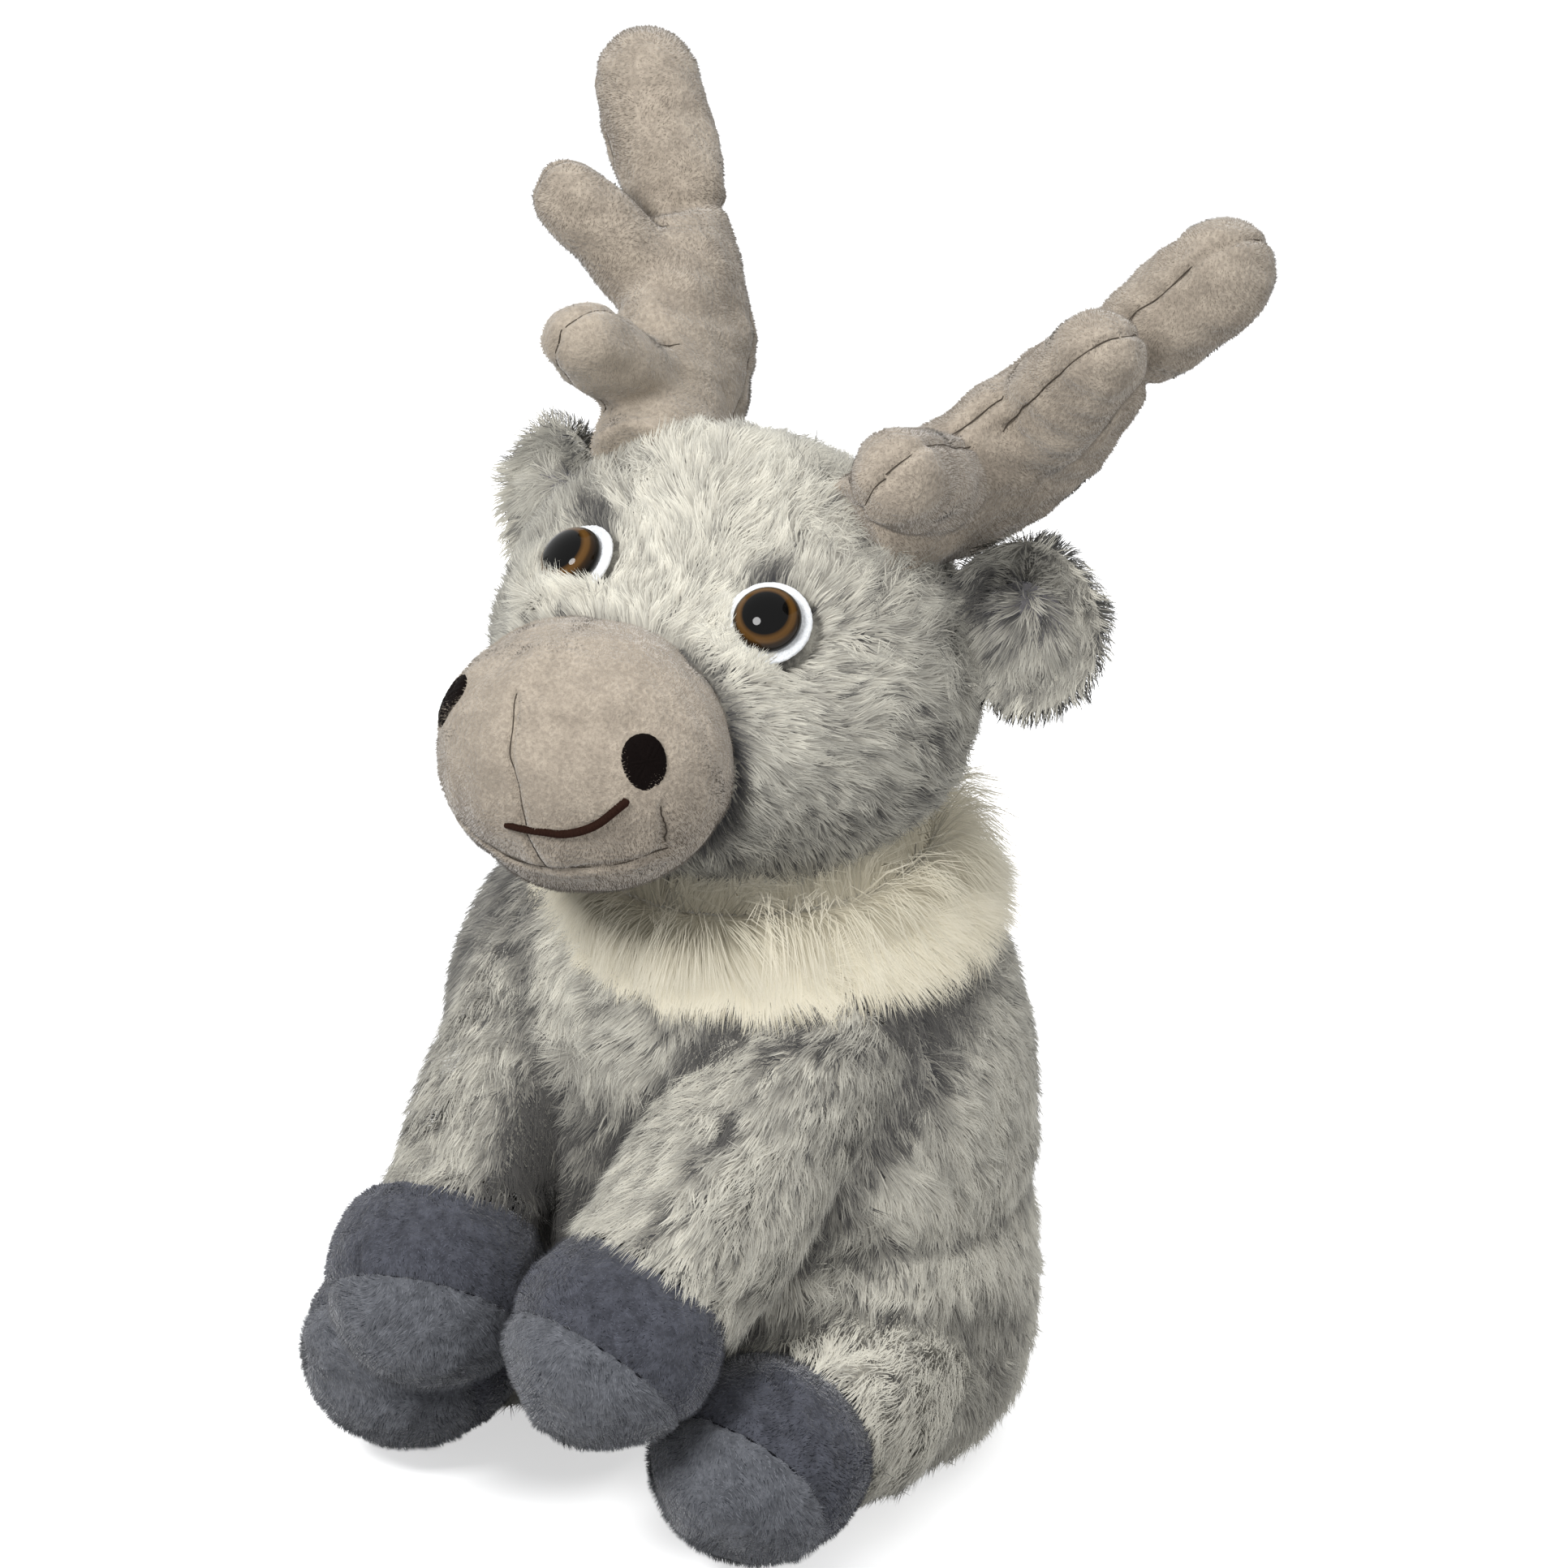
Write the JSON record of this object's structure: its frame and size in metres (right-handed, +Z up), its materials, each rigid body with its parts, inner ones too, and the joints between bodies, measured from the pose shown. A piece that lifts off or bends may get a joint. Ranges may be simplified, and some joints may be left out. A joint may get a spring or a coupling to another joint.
{
  "type": "plush deer",
  "caption": "Seated soft toy deer with stuffed antlers, round muzzle, button eyes, pile collar and limbs; its head, arms, legs, ears, antlers and tail bend",
  "frame": {"origin": "point of the flat underside of the body on the body's upright axis", "axes": "+Z up, the deer faces -Y, and its left is +X"},
  "size_m": [0.1886, 0.2044, 0.301],
  "materials": {
    "grey_pile": "long mottled grey and cream plush pile",
    "cream_pile": "long cream plush pile",
    "taupe_nap": "short taupe velour nap",
    "slate_nap": "short dark slate velour nap",
    "sole_nap": "short grey velour nap",
    "ear_cloth": "dark grey plush",
    "fibre_fill": "loose polyester fibre",
    "bag_cloth": "thin woven bag of pellets",
    "white_felt": "white felt",
    "dark_thread": "near-black satin stitch",
    "brown_thread": "brown satin stitch",
    "eye_plastic": "glossy brown button with a black pupil",
    "washer_plastic": "plain moulded washer"
  },
  "bodies": {
    "torso": {"body_skin": "grey_pile", "body_stuffing": "fibre_fill", "pellet_bag": "bag_cloth", "ruff": "cream_pile"},
    "neck": {"neck_stuffing": "fibre_fill"},
    "head": {"head_skin": "grey_pile", "head_stuffing": "fibre_fill", "muzzle_skin": "taupe_nap", "muzzle_stuffing": "fibre_fill", "mouth_stitch": "brown_thread", "nostril_left": "dark_thread", "eye_left": "eye_plastic", "eye_felt_left": "white_felt", "eye_washer_left": "washer_plastic", "nostril_right": "dark_thread", "eye_right": "eye_plastic", "eye_felt_right": "white_felt", "eye_washer_right": "washer_plastic"},
    "tail": {"tail": "grey_pile"},
    "arm_left": {"arm_left": "grey_pile", "arm_hoof_left": "slate_nap", "arm_sole_left": "sole_nap", "arm_stuffing_left": "fibre_fill"},
    "leg_left": {"leg_left": "grey_pile", "leg_hoof_left": "slate_nap", "leg_sole_left": "sole_nap", "leg_stuffing_left": "fibre_fill"},
    "ear_left": {"ear_left": "grey_pile", "ear_lining_left": "ear_cloth"},
    "antler_left": {"antler_left": "taupe_nap", "antler_stuffing_left": "fibre_fill"},
    "arm_right": {"arm_right": "grey_pile", "arm_hoof_right": "slate_nap", "arm_sole_right": "sole_nap", "arm_stuffing_right": "fibre_fill"},
    "leg_right": {"leg_right": "grey_pile", "leg_hoof_right": "slate_nap", "leg_sole_right": "sole_nap", "leg_stuffing_right": "fibre_fill"},
    "ear_right": {"ear_right": "grey_pile", "ear_lining_right": "ear_cloth"},
    "antler_right": {"antler_right": "taupe_nap", "antler_stuffing_right": "fibre_fill"}
  },
  "joints": [
    {"name": "head_turn", "type": "hinge", "parent": "torso", "child": "neck", "pos_m": [0, 0, 0.144], "axis": [0, 0, 1], "range_deg": [-35, 35], "stiffness_Nm_per_rad": 0.2},
    {"name": "head_nod", "type": "hinge", "parent": "neck", "child": "head", "pos_m": [0, 0, 0.144], "axis": [1, 0, 0], "range_deg": [-8, 8], "stiffness_Nm_per_rad": 1},
    {"name": "arm_left_lift", "type": "hinge", "parent": "torso", "child": "arm_left", "pos_m": [0.043, -0.042, 0.129], "axis": [-1, 0, 0], "range_deg": [0, 35], "stiffness_Nm_per_rad": 0.02},
    {"name": "leg_left_spread", "type": "hinge", "parent": "torso", "child": "leg_left", "pos_m": [0.073, -0.014, 0.033], "axis": [0, 0, 1], "range_deg": [0, 25], "stiffness_Nm_per_rad": 0.05},
    {"name": "ear_left_flap", "type": "hinge", "parent": "head", "child": "ear_left", "pos_m": [0.0495, 0.022, 0.2115], "axis": [0, 1, 0], "range_deg": [-14, 14], "stiffness_Nm_per_rad": 0.04},
    {"name": "antler_left_sway", "type": "hinge", "parent": "head", "child": "antler_left", "pos_m": [0.034, 0.017, 0.2345], "axis": [0, 1, 0], "range_deg": [-6, 6], "stiffness_Nm_per_rad": 0.5},
    {"name": "arm_right_lift", "type": "hinge", "parent": "torso", "child": "arm_right", "pos_m": [-0.043, -0.042, 0.129], "axis": [-1, 0, 0], "range_deg": [0, 35], "stiffness_Nm_per_rad": 0.02},
    {"name": "leg_right_spread", "type": "hinge", "parent": "torso", "child": "leg_right", "pos_m": [-0.073, -0.014, 0.033], "axis": [0, 0, -1], "range_deg": [0, 25], "stiffness_Nm_per_rad": 0.05},
    {"name": "ear_right_flap", "type": "hinge", "parent": "head", "child": "ear_right", "pos_m": [-0.0495, 0.022, 0.2035], "axis": [0, -1, 0], "range_deg": [-14, 14], "stiffness_Nm_per_rad": 0.04},
    {"name": "antler_right_sway", "type": "hinge", "parent": "head", "child": "antler_right", "pos_m": [-0.034, 0.017, 0.2345], "axis": [0, -1, 0], "range_deg": [-6, 6], "stiffness_Nm_per_rad": 0.5},
    {"name": "tail_wag", "type": "hinge", "parent": "torso", "child": "tail", "pos_m": [0, 0.06, 0.044], "axis": [-1, 0, 0], "range_deg": [-15, 15], "stiffness_Nm_per_rad": 0.03}
  ]
}
